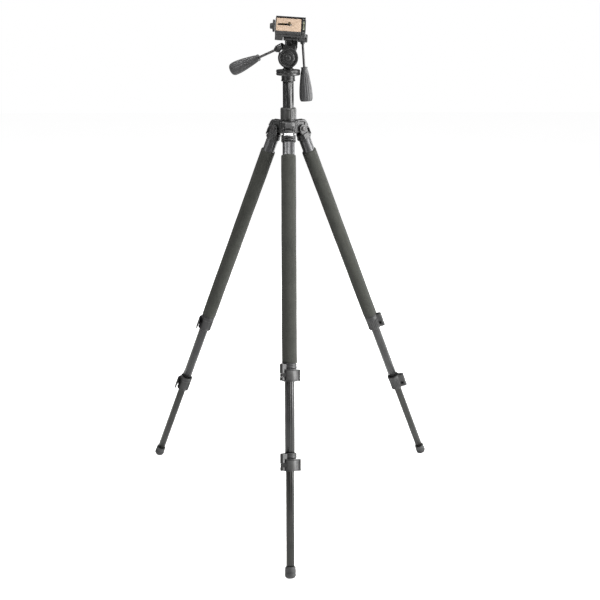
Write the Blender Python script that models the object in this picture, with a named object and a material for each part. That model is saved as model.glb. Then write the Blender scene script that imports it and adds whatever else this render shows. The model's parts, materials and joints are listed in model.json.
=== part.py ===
"""Photo tripod with three flip-lock legs, a sliding centre column and a three-way pan and tilt head.

Metres, +Z up. The front leg points to -Y. The tripod stands on z = 0.
"""

import math

import bmesh
import bpy
from mathutils import Matrix, Vector

# ---------------------------------------------------------------- driving dimensions
FOOT_CIRCLE = 0.430          # radius at which the three leg axes meet the ground
LEG_ANGLE = 22.9             # degrees between each leg and the vertical
LEG_AZIMUTHS = {"front": -90.0, "right": 30.0, "left": 150.0}
COLUMN_Y = 0.1065            # centres the footprint on the origin
HINGE_T = 1.020              # leg length from the foot's underside to the hinge pin

FOAM_R, FOAM_TOP, FOAM_LOW = 0.0175, 0.9612, 0.4780
TUBE_R = (0.0140, 0.0113, 0.0095)      # upper, middle and lower leg tube
TUBE_WALL = 0.0013
GAP = 0.0003
UPPER_TUBE = (1.0057, 0.4490)
MIDDLE_TUBE = (0.7800, 0.2490)
LOWER_TUBE = (0.5600, 0.0082)
LOCK_1 = (0.4775, 0.4368)              # top and bottom of each lock collar
LOCK_2 = (0.2766, 0.2362)
COLLAR_R = (0.0168, 0.0156)   # upper and lower lock collar
PIVOT_R, PIVOT_PHI = 0.0245, -45.0     # flip lever pivot, from the outward side
TAB_PHI = 67.0
LEVER_UP, LEVER_HALF, KNUCKLE_HALF = 0.0140, 0.0134, 0.0038   # lever centre above its collar's foot

COLUMN_R, COLUMN_WALL = 0.0130, 0.0020
COLUMN_TOP, COLUMN_LOW = 1.0600, 0.7205
TILT_Z = 1.1038                        # tilt axis, along Y
TILT_LEAN = 3.7                        # degrees that the head leans to the right
SIDE_UP = 0.0453                       # side tilt axis above the tilt axis
PLATFORM_FLIP = 35.0                   # degrees that the platform leans forward
DISC_R = 0.02325
GRIP_LENGTH = 0.078


# ---------------------------------------------------------------- helpers
def clear():
    for obj in list(bpy.data.objects):
        bpy.data.objects.remove(obj)


def material(name, colour, metallic=0.0, roughness=0.5):
    mat = bpy.data.materials.new(name)
    mat.use_nodes = True
    shader = mat.node_tree.nodes["Principled BSDF"]
    shader.inputs["Base Color"].default_value = (*colour, 1.0)
    shader.inputs["Metallic"].default_value = metallic
    shader.inputs["Roughness"].default_value = roughness
    mat.diffuse_color = (*colour, 1.0)
    return mat


LOOKS = {
    "anodised": ((0.05, 0.05, 0.055), 0.8, 0.35),
    "casting": ((0.03, 0.03, 0.032), 0.2, 0.45),
    "plastic": ((0.02, 0.02, 0.021), 0.0, 0.5),
    "rubber": ((0.03, 0.032, 0.028), 0.0, 0.85),
    "foam": ((0.035, 0.042, 0.036), 0.0, 0.95),
    "steel": ((0.55, 0.55, 0.56), 1.0, 0.3),
    "cork": ((0.62, 0.45, 0.27), 0.0, 0.9),
    "glass": ((0.6, 0.65, 0.6), 0.0, 0.1),
}


def new_object(name, matrix, mesh, look=None):
    obj = bpy.data.objects.new(name, mesh)
    bpy.context.scene.collection.objects.link(obj)
    obj.matrix_world = matrix
    if look:
        mesh.materials.append(material(name + "_mat", *LOOKS[look]))
    else:
        obj.hide_render = True
        obj.display_type = "WIRE"
    return obj


def finish_mesh(name, bm, turn):
    if turn is not None:
        bm.transform(turn)
    bmesh.ops.recalc_face_normals(bm, faces=bm.faces)
    mesh = bpy.data.meshes.new(name)
    bm.to_mesh(mesh)
    bm.free()
    return mesh


def lathe(name, matrix, profile, look=None, steps=20, turn=None, start=0.0):
    """A closed profile of (radius, height) turned about local Z."""
    bm = bmesh.new()
    rings = []
    for r, z in profile:
        if r < 1e-9:
            rings.append([bm.verts.new((0, 0, z))] * steps)
        else:
            angles = [start + 2 * math.pi * i / steps for i in range(steps)]
            rings.append([bm.verts.new((r * math.cos(a), r * math.sin(a), z)) for a in angles])
    for k, low in enumerate(rings):
        after = (k + 1) % len(rings)
        high = rings[after]
        if profile[k][0] < 1e-9 and profile[after][0] < 1e-9:
            continue
        for i in range(steps):
            j = (i + 1) % steps
            corners = [low[i], low[j], high[j], high[i]]
            face = [v for n, v in enumerate(corners) if v not in corners[:n]]
            if len(face) > 2:
                bm.faces.new(face)
    return new_object(name, matrix, finish_mesh(name, bm, turn), look)


def tube(name, matrix, outer, wall, top, low, look, steps=20):
    profile = [(outer, low), (outer, top), (outer - wall, top), (outer - wall, low)]
    return lathe(name, matrix, profile, look, steps)


def prism(name, matrix, outline, low, high, look=None, turn=None):
    """A flat outline of (x, y) points raised along local Z."""
    bm = bmesh.new()
    under = [bm.verts.new((x, y, low)) for x, y in outline]
    over = [bm.verts.new((x, y, high)) for x, y in outline]
    bm.faces.new(under[::-1])
    bm.faces.new(over)
    for i in range(len(outline)):
        j = (i + 1) % len(outline)
        bm.faces.new((under[i], under[j], over[j], over[i]))
    return new_object(name, matrix, finish_mesh(name, bm, turn), look)


def box(name, matrix, x, y, z, look=None, chamfer=0.0):
    """A block; chamfer cuts the four edges along local Z."""
    (x0, x1), (y0, y1), c = x, y, chamfer
    if c:
        outline = [(x0 + c, y0), (x1 - c, y0), (x1, y0 + c), (x1, y1 - c),
                   (x1 - c, y1), (x0 + c, y1), (x0, y1 - c), (x0, y0 + c)]
    else:
        outline = [(x0, y0), (x1, y0), (x1, y1), (x0, y1)]
    return prism(name, matrix, outline, *z, look)


def boolean(obj, tool, operation):
    modifier = obj.modifiers.new(operation.lower(), "BOOLEAN")
    modifier.operation = operation
    modifier.solver = "EXACT"
    modifier.object = tool
    return obj


def polar(radius, degrees):
    """A point at an angle turned anticlockwise from local -Y."""
    a = math.radians(degrees)
    return (radius * math.sin(a), -radius * math.cos(a))


def arc(radius, first, last, steps):
    return [polar(radius, first + (last - first) * i / steps) for i in range(steps + 1)]


def circle(centre, radius, first, last, steps):
    span = [math.radians(first + (last - first) * i / steps) for i in range(steps + 1)]
    return [(centre[0] + radius * math.cos(a), centre[1] + radius * math.sin(a)) for a in span]


def along(x=0.0, y=0.0, z=0.0):
    return Matrix.Translation((x, y, z))


def rot(degrees, axis):
    return Matrix.Rotation(math.radians(degrees), 4, axis)


UPRIGHT_X = rot(90, "Y")               # local Z of a lathe or prism laid along +X
UPRIGHT_Y = rot(90, "X")               # a prism's outline stood up in the X-Z plane
SLANT, COS, SIN = LEG_ANGLE, math.cos(math.radians(LEG_ANGLE)), math.sin(math.radians(LEG_ANGLE))

# ---------------------------------------------------------------- frames
FOOT_PROFILE = [(0.0, 0.0), (0.0055, 0.0002), (0.0085, 0.0012), (0.0112, 0.0034), (0.0126, 0.0068),
                (0.0125, 0.0120), (0.0121, 0.0259), (0.0098, 0.0259), (0.0098, 0.0078), (0.0, 0.0078)]
LIFT = max(r * SIN - z * COS for r, z in FOOT_PROFILE)
HINGE_R = FOOT_CIRCLE - HINGE_T * SIN
HINGE_Z = HINGE_T * COS
WORLD = along(0, COLUMN_Y, LIFT)


def hub_frame(azimuth):
    """Hub-aligned frame at a leg's hinge: local -Y points outward, +Z up."""
    return WORLD @ rot(azimuth + 90, "Z") @ along(0, -HINGE_R, HINGE_Z)


def leg_frame(azimuth):
    """Frame at the hinge with local -Z down the leg."""
    return hub_frame(azimuth) @ rot(-SLANT, "X")


def down(t):
    """Local height in a leg frame of a point at leg length t above the ground."""
    return t - HINGE_T


# ---------------------------------------------------------------- leg pieces
EAR_X = (0.0086, 0.0136)               # fork ears of the leg top, either side of the hub lug
EAR_R = 0.0098
PIN_R = 0.0030


def leg_top(name, frame):
    body = lathe(name, frame, [
        (0.0172, down(0.9935)), (0.0172, down(0.9975)), (0.0160, down(0.9982)),
        (0.0160, down(1.0070)), (0.0145, down(1.0085)), (0.0, down(1.0085)), (0.0, down(1.0060)),
        (TUBE_R[0] + GAP, down(1.0060)), (TUBE_R[0] + GAP, down(0.9935))], "casting", 20)
    ear = circle((0, 0), EAR_R, -15, 195, 9) + [(-0.0086, down(1.0073)), (0.0086, down(1.0073))]
    for side in (-1, 1):
        lows, highs = sorted((side * EAR_X[0], side * EAR_X[1]))
        plate = prism(f"{name}_ear_{side}", frame, ear, lows, highs,
                      turn=Matrix(((0, 0, 1, 0), (1, 0, 0, 0), (0, 1, 0, 0), (0, 0, 0, 1))))
        boolean(body, plate, "UNION")
    hole = lathe(name + "_bore", frame, [(0, -0.02), (PIN_R + GAP, -0.02), (PIN_R + GAP, 0.02), (0, 0.02)],
                 steps=12, turn=UPRIGHT_X)
    return boolean(body, hole, "DIFFERENCE")


def hinge_bolt(name, frame):
    """Pin through the fork and the hub lug, with a round head at each end."""
    head, reach = 0.0058, EAR_X[1] + GAP
    return lathe(name, frame, [
        (0, -reach - 0.0024), (head * 0.7, -reach - 0.0024), (head, -reach - 0.0012), (head, -reach),
        (PIN_R, -reach), (PIN_R, reach), (head, reach), (head, reach + 0.0012),
        (head * 0.7, reach + 0.0024), (0, reach + 0.0024)], "steel", 12, UPRIGHT_X)


TAB_PIVOT = (-0.0155, down(1.0120))    # local y and z of the release tab's pin


def stop_tab(name, frame):
    """Curved release tab that stands off the leg top, with a tongue under the hub's nose."""
    y, z = TAB_PIVOT
    shell = arc(0.0197, -38, 38, 8) + arc(0.0172, 38, -38, 8)
    body = prism(name, frame @ along(0, y, z), [(px, py - y) for px, py in shell],
                 down(0.9988) - z, down(1.0135) - z, "plastic")
    tongue = box(name + "_tongue", frame @ along(0, y, z), (-0.0075, 0.0075),
                 (-0.0182 - y, -0.0128 - y), (down(1.0105) + 0.0024 - z, down(1.0175) - z))
    return boolean(body, tongue, "UNION")


def rounded_pivot():
    return polar(PIVOT_R, PIVOT_PHI)


def lock_collar(name, frame, span, radius, above, below, seat):
    """Clamp collar on the end of one tube, with ears at its split that carry the flip lever's pin."""
    top, low = (down(t) for t in span)
    shoulder = down(seat) - GAP
    body = lathe(name, frame, [
        (radius - 0.001, low), (radius, low + 0.001), (radius, top - 0.001), (radius - 0.001, top),
        (above + GAP, top), (above + GAP, shoulder), (below + GAP, shoulder), (below + GAP, low)],
        "plastic", 20, start=math.pi / 20)
    px, py = rounded_pivot()
    side = Vector(polar(1, PIVOT_PHI + 90))
    root = Vector(polar(0.0150, PIVOT_PHI))
    across = side * 0.0048
    outline = [tuple(root - across)] + circle((px, py), 0.0048, -225, -45, 6) + [tuple(root + across)]
    below_knuckle, above_knuckle = LEVER_UP - KNUCKLE_HALF - GAP, LEVER_UP + KNUCKLE_HALF + GAP
    ears = ((low + above_knuckle, top - 0.0010), (low + 0.0015, low + below_knuckle))
    for n, (a, b) in enumerate(ears):
        boolean(body, prism(f"{name}_ear_{n}", frame, outline, a, b), "UNION")
    return body


def lock_lever(name, frame, span):
    """Flip lever: knuckle between the collar's ears, a curved plate and a flared thumb tab."""
    low = down(span[1])
    px, py = rounded_pivot()
    at = frame @ along(px, py, low + LEVER_UP)
    shell = arc(0.0214, -25, 48, 8) + [polar(0.0240, 60), polar(0.0272, TAB_PHI), polar(0.0252, TAB_PHI + 3)]
    shell += [polar(0.0215, 62), polar(0.0189, 50)] + arc(0.0182, 46, -25, 8)
    body = prism(name, at, [(x - px, y - py) for x, y in shell], -LEVER_HALF, LEVER_HALF, "plastic")
    arm = circle((0, 0), 0.0042, 70, 290, 7)
    arm += [tuple(Vector(polar(0.0208, -18)) - Vector((px, py))), tuple(Vector(polar(0.0188, -20)) - Vector((px, py)))]
    return boolean(body, prism(name + "_knuckle", at, arm, -KNUCKLE_HALF, KNUCKLE_HALF), "UNION")


def rubber_foot(name, frame):
    return lathe(name, frame, [(r, down(z)) for r, z in FOOT_PROFILE], "rubber", 16, start=math.pi / 2)


def leg(side, azimuth):
    frame = leg_frame(azimuth)
    leg_top(f"leg_top_{side}", frame)
    hinge_bolt(f"hinge_bolt_{side}", frame)
    stop_tab(f"stop_tab_{side}", frame)
    for name, radius, (top, low) in (("upper_tube", TUBE_R[0], UPPER_TUBE),
                                     ("middle_tube", TUBE_R[1], MIDDLE_TUBE),
                                     ("lower_tube", TUBE_R[2], LOWER_TUBE)):
        tube(f"{name}_{side}", frame, radius, TUBE_WALL, down(top), down(low), "anodised", 20)
    tube(f"foam_grip_{side}", frame, FOAM_R, FOAM_R - TUBE_R[0] - GAP, down(FOAM_TOP), down(FOAM_LOW), "foam", 20)
    lock_collar(f"lock_collar_1_{side}", frame, LOCK_1, COLLAR_R[0], TUBE_R[0], TUBE_R[1], UPPER_TUBE[1])
    lock_lever(f"lock_lever_1_{side}", frame, LOCK_1)
    lock_collar(f"lock_collar_2_{side}", frame, LOCK_2, COLLAR_R[1], TUBE_R[1], TUBE_R[2], MIDDLE_TUBE[1])
    lock_lever(f"lock_lever_2_{side}", frame, LOCK_2)
    rubber_foot(f"rubber_foot_{side}", frame)


# ---------------------------------------------------------------- centre pieces
def hub():
    """Shoulder casting: a bored body with a threaded neck and three hinge lugs with stop noses."""
    bore, neck = COLUMN_R + GAP, 0.0160
    body = lathe("hub", WORLD, [
        (0.0200, 0.9300), (0.0225, 0.9315), (0.0225, 0.9560), (0.0205, 0.9593), (neck, 0.9593),
        (neck, 0.9780), (bore, 0.9780), (bore, 0.9300)], "casting", 24)
    lug = [(0.0160, -0.0090), (-0.0020, -0.0088), (-0.0062, -0.0062), (-0.0086, -0.0020), (-0.0095, 0.0012),
           (-0.0150, 0.0042), (-0.0176, 0.0074), (-0.0112, 0.0180), (-0.0075, 0.0207), (0.0160, 0.0195)]
    stand = Matrix(((0, 0, 1, 0), (1, 0, 0, 0), (0, 1, 0, 0), (0, 0, 0, 1)))
    for side, azimuth in LEG_AZIMUTHS.items():
        frame = hub_frame(azimuth)
        half = EAR_X[0] - GAP
        boolean(body, prism(f"hub_lug_{side}", frame, lug, -half, half, turn=stand), "UNION")
    for side, azimuth in LEG_AZIMUTHS.items():
        hole = lathe(f"hub_hole_{side}", hub_frame(azimuth),
                     [(0, -0.012), (PIN_R + GAP, -0.012), (PIN_R + GAP, 0.012), (0, 0.012)],
                     steps=12, turn=UPRIGHT_X)
        boolean(body, hole, "DIFFERENCE")
    cut = lathe("hub_column_cut", WORLD, [(0, 0.90), (bore, 0.90), (bore, 1.0), (0, 1.0)], steps=24)
    return boolean(body, cut, "DIFFERENCE")


def centre_column():
    collar = [(0.0184, 0.9623), (0.0189, 0.9635), (0.0189, 0.9855), (0.0175, 0.9885), (0.0160, 0.9894),
              (COLUMN_R + GAP, 0.9894), (COLUMN_R + GAP, 0.9790), (0.0160 + GAP, 0.9790), (0.0160 + GAP, 0.9623)]
    lathe("column_collar", WORLD, collar, "rubber", 24)
    tube("column", WORLD, COLUMN_R, COLUMN_WALL, COLUMN_TOP, COLUMN_LOW, "anodised", 24)
    inside, plug = COLUMN_R - COLUMN_WALL - GAP, COLUMN_LOW - GAP
    lathe("column_end_cap", WORLD, [
        (0, plug - 0.0080), (0.0100, plug - 0.0080), (COLUMN_R, plug - 0.0055), (COLUMN_R, plug),
        (inside, plug), (inside, plug + 0.012), (0, plug + 0.012)], "plastic", 24)
    lathe("column_top_collar", WORLD, [
        (0.0164, 1.0505), (0.0166, 1.0520), (0.01575, 1.0540), (0.01575, 1.0634), (0, 1.0634),
        (0, COLUMN_TOP + GAP), (COLUMN_R + GAP, COLUMN_TOP + GAP), (COLUMN_R + GAP, 1.0505)], "casting", 24)
    disc = 0.0279
    lathe("column_plate", WORLD, [
        (0, 1.0637), (disc - 0.002, 1.0637), (disc, 1.0650), (disc, 1.0692), (disc - 0.0008, 1.0700), (0, 1.0700)],
        "casting", 32)
    lathe("head_base", WORLD, [
        (0, 1.0703), (disc - 0.0008, 1.0703), (disc, 1.0712), (disc, 1.0754), (disc - 0.0015, 1.0767),
        (0, 1.0767)], "casting", 32)


# ---------------------------------------------------------------- head
PAN = WORLD @ along(0, 0, TILT_Z)
TILT = PAN @ rot(TILT_LEAN, "Y")
SIDE = TILT @ along(0, 0, SIDE_UP) @ rot(PLATFORM_FLIP, "X")
CHEEK_IN, CHEEK_OUT = 0.0088, 0.0185
DRUM_R = 0.0190
SLEEVE_R, SLEEVE_X = 0.0118, (-0.0096, 0.0204)
SHAFT_R = 0.0060


def pan_body():
    """Neck that turns on the head base, rising to the drum that the tilt cheeks turn on."""
    low = 1.0770 - TILT_Z
    body = lathe("pan_body", PAN, [
        (0, low), (0.0130, low), (0.0130, low + 0.0016), (0.0118, low + 0.0026), (0.0118, -0.0238), (0, -0.0238)],
        "casting", 24)
    boolean(body, box("pan_stem", PAN, (-0.0105, 0.0105), (-0.0085, 0.0085), (-0.0250, -0.0100)), "UNION")
    drum = lathe("pan_drum", PAN, [(0, -0.0085), (DRUM_R, -0.0085), (DRUM_R, 0.0085), (0, 0.0085)],
                 steps=28, turn=UPRIGHT_Y)
    boolean(body, drum, "UNION")
    hole = lathe("pan_hole", PAN, [(0, -0.02), (0.0050, -0.02), (0.0050, 0.02), (0, 0.02)],
                 steps=16, turn=UPRIGHT_Y)
    return boolean(body, hole, "DIFFERENCE")


def tilt_frame():
    """Two cheeks beside the drum, the bracket above it and the split sleeve of the side tilt shaft."""
    def cheek(name, low, high, look=None):
        return lathe(name, TILT, [
            (0.0050, low), (DISC_R, low), (DISC_R, high), (0.0050, high)], look, 32, UPRIGHT_Y)
    body = cheek("tilt_frame", CHEEK_IN, CHEEK_OUT, "casting")
    room = circle((0, 0), DRUM_R + 0.0004, 37, 143, 9)
    shoulder = room + [(-0.0120, 0.0270), (0.0150, 0.0270)]
    boolean(body, prism("tilt_shoulder", TILT, shoulder, -0.0175, 0.0175, turn=UPRIGHT_Y), "UNION")
    boolean(body, cheek("tilt_cheek_back", -CHEEK_OUT, -CHEEK_IN), "UNION")
    left, right, top = SLEEVE_X[0] + 0.0004, SLEEVE_X[1] - 0.0004, SIDE_UP - 0.0082
    neck = [(-0.0105, 0.0225), (0.0140, 0.0225), (right, 0.0330), (right, top), (left, top), (left, 0.0330)]
    boolean(body, prism("tilt_bracket", TILT, neck, -0.0078, 0.0078, turn=UPRIGHT_Y), "UNION")
    gusset = [(0.0060, 0.0203), (0.0176, 0.0146), (0.0192, 0.0235), (0.0196, 0.0320), (0.0060, 0.0320)]
    boolean(body, prism("tilt_gusset", TILT, gusset, -0.0150, 0.0150, turn=UPRIGHT_Y), "UNION")
    at = TILT @ along(0, 0, SIDE_UP)
    bore = SHAFT_R + GAP
    sleeve = lathe("tilt_sleeve", at, [(bore, SLEEVE_X[0]), (SLEEVE_R, SLEEVE_X[0]), (SLEEVE_R, SLEEVE_X[1]),
                                       (bore, SLEEVE_X[1])], steps=24, turn=UPRIGHT_X)
    boolean(body, sleeve, "UNION")
    boss = lathe("tilt_boss", HANDLE, [
        (0, -0.0165), (0.0088, -0.0165), (0.0088, -0.0034), (0.0080, -0.0026), (0.0032, -0.0026),
        (0.0032, -0.0110), (0, -0.0110)], steps=20)
    boolean(body, boss, "UNION")
    slit = box("tilt_slit", at, (0.0064, 0.0076), (-0.0200, -0.0030), (-0.0155, 0.0200))
    return boolean(body, slit, "DIFFERENCE")


def tilt_axle():
    """Through bolt of the tilt joint with its round front cap and its rear nut."""
    front, back = CHEEK_OUT + GAP, -CHEEK_OUT - GAP
    lathe("tilt_axle", TILT, [
        (0, back - 0.0045), (0.0060, back - 0.0045), (0.0068, back - 0.0030), (0.0068, back), (0.0047, back),
        (0.0047, front), (0.0125, front), (0.0125, front + 0.0018), (0.0110, front + 0.0030),
        (0.0062, front + 0.0030), (0.0055, front + 0.0042), (0, front + 0.0042)], "plastic", 24, UPRIGHT_Y)


# The tilt handle leaves the upper left of the tilt disc and runs down to the left and back.
HANDLE_AT = Vector((-0.0246, 0.0005, 0.0193))
HANDLE_DIR = Vector((-0.8280, 0.4067, -0.3861)).normalized()
HANDLE = PAN @ Matrix.Translation(HANDLE_AT) @ HANDLE_DIR.to_track_quat("Z", "Y").to_matrix().to_4x4()
# The side tilt handle hangs from the barrel at the right end of the side tilt shaft.
SIDE_HANDLE_X, SIDE_HANDLE_LEAN = 0.0303, 7.4
SIDE_HANDLE = (TILT @ along(SIDE_HANDLE_X, 0, SIDE_UP) @ rot(180 - SIDE_HANDLE_LEAN, "Y"))

GRIP = [(0.0076, 0.0), (0.0080, 0.0012), (0.0072, 0.0045), (0.0091, 0.0120), (0.0117, 0.0280),
        (0.0142, 0.0460), (0.0153, 0.0600), (0.0153, 0.0680), (0.0142, 0.0740), (0.0112, GRIP_LENGTH),
        (0.0, GRIP_LENGTH)]


def handle(name, frame, nut, rod, rod_r, sink):
    """Screw rod and its moulded grip; distances run outward from the fixing boss."""
    lathe(f"{name}_rod", frame, [(0, sink), (rod_r, sink), (rod_r, rod + 0.030), (0, rod + 0.030)], "steel", 12)
    hollow = [(0.0, 0.0304), (rod_r + GAP, 0.0304), (rod_r + GAP, 0.0)]
    lathe(f"{name}_grip", frame @ along(0, 0, rod), GRIP + hollow, "rubber", 18)
    if nut:
        lathe(f"{name}_nut", frame, [
            (rod_r + GAP, -0.0022), (0.0076, -0.0022), (0.0083, -0.0012), (0.0083, 0.0012), (0.0060, 0.0020),
            (0.0050, 0.0060), (rod_r + GAP, 0.0060)], "casting", 18)


PLATE_X, PLATE_Y = (-0.0334, 0.0262), (-0.0247, 0.0240)
CORK_X, CORK_Y = (-0.0312, 0.0254), (-0.0238, 0.0226)
BODY_X, BODY_Y, BODY_Z = (-0.0328, 0.0300), (-0.0245, 0.0272), (0.0139, 0.0255)
PLATE_Z, CORK_TOP = (0.0258, 0.0331), 0.0354
SCREW_X, PIN_X, SLOT_X = -0.0014, -0.0160, (-0.0290, 0.0034)


def slot_outline(radius):
    right = circle((SLOT_X[1] - radius, 0), radius, -90, 90, 5)
    left = circle((SLOT_X[0] + radius, 0), radius, 90, 270, 5)
    return right + left


def platform():
    """Platform body with its fixed jaw, the barrel of the side tilt shaft and a level in the jaw."""
    body = box("platform_body", SIDE, BODY_X, BODY_Y, BODY_Z, "casting", 0.002)
    skirt = box("platform_skirt", SIDE, (BODY_X[0] + 0.0001, -0.0145), (-0.0243, 0.0200), (0.0082, 0.0150), None, 0.0015)
    boolean(body, skirt, "UNION")
    wall = box("platform_wall", SIDE, (BODY_X[0] + 0.0002, 0.0355), (0.0244, 0.0270), (0.0200, 0.0378), None, 0.0008)
    boolean(body, wall, "UNION")
    jaw = box("platform_jaw", SIDE, (0.0266, 0.0362), (-0.0240, 0.0255), (0.0190, 0.0345), None, 0.0015)
    boolean(body, jaw, "UNION")
    ledge = box("platform_ledge", SIDE, (-0.0140, 0.0400), (-0.0300, -0.0150), (0.0100, 0.0188), None, 0.0)
    boolean(body, ledge, "DIFFERENCE")
    barrel = lathe("platform_barrel", SIDE, [(0, 0.0208), (0.0092, 0.0208), (0.0092, 0.0362), (0, 0.0362)],
                   steps=24, turn=UPRIGHT_X)
    boolean(body, barrel, "UNION")
    boolean(body, box("platform_web", SIDE, (0.0212, 0.0358), (-0.0086, 0.0086), (0.0, 0.0200)), "UNION")
    bore = lathe("platform_bore", SIDE, [(0, 0.01), (SHAFT_R + GAP, 0.01), (SHAFT_R + GAP, 0.05), (0, 0.05)],
                 steps=20, turn=UPRIGHT_X)
    boolean(body, bore, "DIFFERENCE")
    socket = lathe("platform_socket", SIDE_HANDLE, [(0, 0.0070), (0.0033, 0.0070), (0.0033, 0.03), (0, 0.03)],
                   steps=12)
    boolean(body, socket, "DIFFERENCE")
    groove = box("platform_groove", SIDE, (0.0296, 0.0334), (-0.0160, 0.0160), (0.0316, 0.04))
    boolean(body, groove, "DIFFERENCE")
    lathe("level_vial", SIDE @ along(0.0315, 0, 0.0338), [
        (0, -0.0154), (0.0010, -0.0154), (0.0016, -0.0146), (0.0016, 0.0146), (0.0010, 0.0154), (0, 0.0154)],
        "glass", 12, UPRIGHT_Y)
    lathe("side_shaft", SIDE, [
        (0, -0.0135), (0.0072, -0.0135), (0.0078, -0.0125), (0.0078, SLEEVE_X[0] - GAP),
        (SHAFT_R, SLEEVE_X[0] - GAP), (SHAFT_R, 0.0365), (0.0092, 0.0365), (0.0092, 0.0405), (0.0076, 0.0424),
        (0, 0.0424)], "casting", 20, UPRIGHT_X)


def quick_plate():
    plate = box("qr_plate", SIDE, PLATE_X, PLATE_Y, PLATE_Z, "casting", 0.0015)
    slot = slot_outline(0.0036)
    boolean(plate, prism("plate_slot", SIDE, slot, 0.02, 0.05), "DIFFERENCE")
    pocket = box("plate_pocket", SIDE, (-0.0300, 0.0080), (-0.0086, 0.0086), (0.02, 0.0302))
    boolean(plate, pocket, "DIFFERENCE")
    cork = box("cork_pad", SIDE, CORK_X, CORK_Y, (PLATE_Z[1] + GAP, CORK_TOP), "cork", 0.0015)
    boolean(cork, prism("cork_slot", SIDE, slot, 0.02, 0.05), "DIFFERENCE")
    lathe("camera_screw", SIDE @ along(SCREW_X), [
        (0, 0.0262), (0.0068, 0.0262), (0.0072, 0.0268), (0.0072, 0.0298), (0.0031, 0.0298), (0.0031, 0.0402),
        (0.0025, 0.0410), (0, 0.0410)], "steel", 12)
    lathe("video_pin", SIDE @ along(PIN_X), [
        (0, 0.0276), (0.0040, 0.0276), (0.0040, 0.0298), (0.0021, 0.0298), (0.0021, 0.0378), (0.0014, 0.0386),
        (0, 0.0386)], "steel", 12)


LEVER_AT = (-0.0357, -0.0125)


def quick_lever():
    """Release lever on the left of the platform, turning about an axis normal to the plate."""
    x, y = LEVER_AT
    at = SIDE @ along(x, y, 0)
    block = [(0.0018, 0.0), (0.0018, 0.0300), (-0.0036, 0.0315), (-0.0040, 0.0175), (-0.0096, 0.0168),
             (-0.0096, 0.0086), (-0.0040, 0.0078), (-0.0034, 0.0010)] + circle((-0.0008, 0), 0.0026, 200, 340, 4)
    return prism("qr_lever", at, block, 0.0235, 0.0335, "plastic")


# ---------------------------------------------------------------- build
clear()
for leg_side, leg_azimuth in LEG_AZIMUTHS.items():
    leg(leg_side, leg_azimuth)
hub()
centre_column()
pan_body()
tilt_frame()
tilt_axle()
platform()
quick_plate()
quick_lever()
handle("tilt_handle", HANDLE, True, 0.0527, 0.0029, -0.0105)
handle("side_handle", SIDE_HANDLE, False, 0.0650, 0.0029, 0.0075)
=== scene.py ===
"""Photo tripod with flip-lock legs and a two-handle pan and tilt head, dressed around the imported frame."""

import json
import math

import bmesh
import bpy
from mathutils import Matrix, Vector


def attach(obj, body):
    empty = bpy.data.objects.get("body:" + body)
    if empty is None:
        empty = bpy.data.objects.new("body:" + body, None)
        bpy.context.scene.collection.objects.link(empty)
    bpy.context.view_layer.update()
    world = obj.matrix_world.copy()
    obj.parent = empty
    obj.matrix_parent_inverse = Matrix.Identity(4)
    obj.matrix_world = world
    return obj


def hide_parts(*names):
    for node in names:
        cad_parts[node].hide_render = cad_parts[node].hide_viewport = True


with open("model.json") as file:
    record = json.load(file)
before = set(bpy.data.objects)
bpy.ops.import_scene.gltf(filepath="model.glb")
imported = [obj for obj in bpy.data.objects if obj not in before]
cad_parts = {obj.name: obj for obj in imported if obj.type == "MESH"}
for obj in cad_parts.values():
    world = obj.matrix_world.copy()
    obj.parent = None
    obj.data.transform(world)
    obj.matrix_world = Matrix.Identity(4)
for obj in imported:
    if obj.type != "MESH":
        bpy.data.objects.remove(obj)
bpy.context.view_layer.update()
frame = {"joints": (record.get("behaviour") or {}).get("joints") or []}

SIDES = ("front", "right", "left")
JOINTS = {joint["name"]: joint for joint in frame["joints"]}


# ---- local frames
def axes_frame(origin, x, z):
    """A frame from an origin, its X axis and its Z axis."""
    x, z = Vector(x).normalized(), Vector(z).normalized()
    y = z.cross(x).normalized()
    x = y.cross(z)
    matrix = Matrix((x, y, z)).transposed().to_4x4()
    matrix.translation = Vector(origin)
    return matrix


def joint_at(name):
    return JOINTS[name]["pos_m"]


def joint_axis(name):
    return JOINTS[name]["axis"]


def shifted(matrix, x=0.0, y=0.0, z=0.0):
    return matrix @ Matrix.Translation((x, y, z))


def turned(degrees, axis):
    return Matrix.Rotation(math.radians(degrees), 4, axis)


PAN_X, PAN_Y, _ = joint_at("pan_turn")
TILT_AT = joint_at("tilt_turn")
TILT_Z = 1.1038                     # tilt axis in the heights that the shoulder and column profiles use
LIFT = TILT_AT[2] - TILT_Z
BASE = Matrix.Translation((PAN_X, PAN_Y, LIFT))
SIDE_X = joint_axis("side_tilt_turn")
TILT = axes_frame(TILT_AT, SIDE_X, Vector(SIDE_X).cross(Vector((0, 1, 0))))
SIDE = axes_frame(joint_at("side_tilt_turn"), SIDE_X, joint_axis("quick_plate_lift"))
SIDE_UP = (Vector(joint_at("side_tilt_turn")) - Vector(TILT_AT)).length
LEVER = axes_frame(joint_at("quick_lever_swing"), SIDE_X, joint_axis("quick_lever_swing"))
HINGE_T = 1.02                     # leg hinge in the lengths that the leg profiles use
LEG_FRAMES, HUB_FRAMES = {}, {}
for side in SIDES:
    across = joint_axis("leg_hinge_" + side)
    up = [-v for v in joint_axis("middle_slide_" + side)]
    LEG_FRAMES[side] = axes_frame(joint_at("leg_hinge_" + side), across, up)
    HUB_FRAMES[side] = axes_frame(joint_at("leg_hinge_" + side), across, (0, 0, 1))


def handle_frame(name):
    axis = Vector(joint_axis(name))
    matrix = axis.to_track_quat("Z", "Y").to_matrix().to_4x4()
    matrix.translation = Vector(joint_at(name))
    return matrix


TILT_HANDLE = handle_frame("tilt_handle_twist")
SIDE_HANDLE = handle_frame("side_handle_twist")


def down(t):
    """Local height in a leg frame of a point at leg length t above the ground."""
    return t - HINGE_T


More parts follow.
